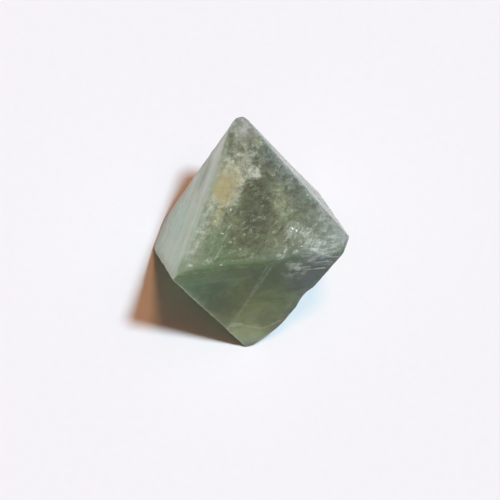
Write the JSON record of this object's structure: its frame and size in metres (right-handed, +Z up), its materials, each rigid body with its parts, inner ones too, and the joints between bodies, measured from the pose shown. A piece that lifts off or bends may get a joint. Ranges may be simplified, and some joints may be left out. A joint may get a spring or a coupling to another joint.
{
  "type": "fluorite octahedron",
  "caption": "Hand-cleaved octahedron of translucent green fluorite with worn edges and blunt tips, lying on one of its flat faces; for display or study.",
  "frame": {"origin": "on the surface that the crystal lies on, under the middle of its outline seen from above", "axes": "+Z up, square to the resting face; -Y towards the viewer who sees the long front edge; +X to that viewer's right"},
  "size_m": [0.025, 0.0254, 0.0171],
  "materials": {
    "green_fluorite": "satin"
  },
  "bodies": {
    "root": {"fluorite_octahedron": "green_fluorite"}
  },
  "joints": []
}
